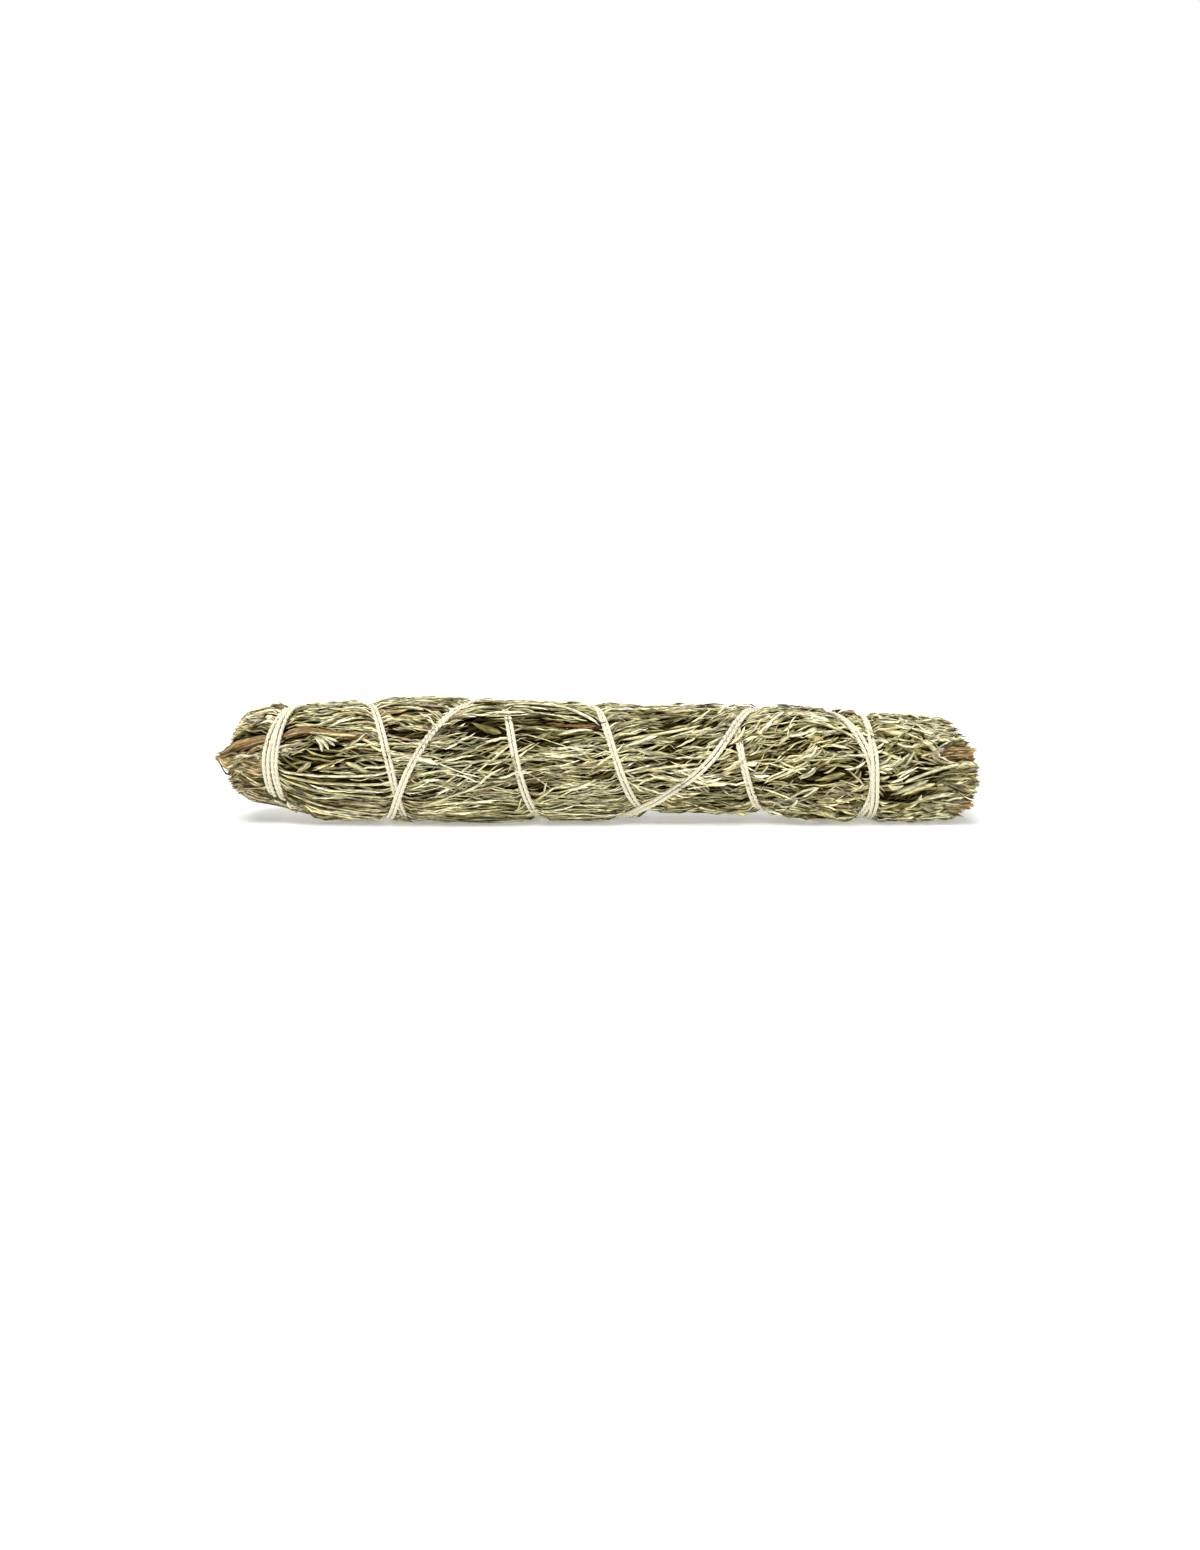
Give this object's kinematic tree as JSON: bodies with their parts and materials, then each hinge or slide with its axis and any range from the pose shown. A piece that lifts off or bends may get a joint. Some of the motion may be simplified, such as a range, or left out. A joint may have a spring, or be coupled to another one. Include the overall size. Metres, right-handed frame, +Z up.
{
  "type": "bunch of sagebrush",
  "caption": "Slim dried bundle of leafy sagebrush sprigs lying on its side, bound from end to end with wound cotton string.",
  "frame": {"origin": "on the ground, under the middle of the bunch's bounding box", "axes": "+X along the bunch from its pointed stem end to its blunt leafy end, +Z up, the side in the picture faces -Y"},
  "size_m": [0.2245, 0.0363, 0.0357],
  "materials": {
    "sage_leaf": "dry, matt, finely downy grey-green to straw leaves",
    "sage_wood": "dry orange-brown twig wood with pale cut ends",
    "cotton_string": "matt cream cotton, two plied strands side by side"
  },
  "bodies": {
    "root": {"leafy_sprig_01": "sage_leaf", "leafy_sprig_02": "sage_leaf", "leafy_sprig_03": "sage_leaf", "leafy_sprig_04": "sage_leaf", "leafy_sprig_05": "sage_leaf", "leafy_sprig_06": "sage_leaf", "leafy_sprig_07": "sage_leaf", "leafy_sprig_08": "sage_leaf", "leafy_sprig_09": "sage_leaf", "inner_sprig_1": "sage_leaf", "inner_sprig_2": "sage_leaf", "inner_sprig_3": "sage_leaf", "woody_stem_left": "sage_wood", "woody_stem_right_upper": "sage_wood", "woody_stem_right_lower": "sage_wood", "woody_stem_inner_1": "sage_wood", "woody_stem_inner_2": "sage_wood", "woody_stem_inner_3": "sage_wood", "tie_string": "cotton_string"}
  },
  "joints": []
}
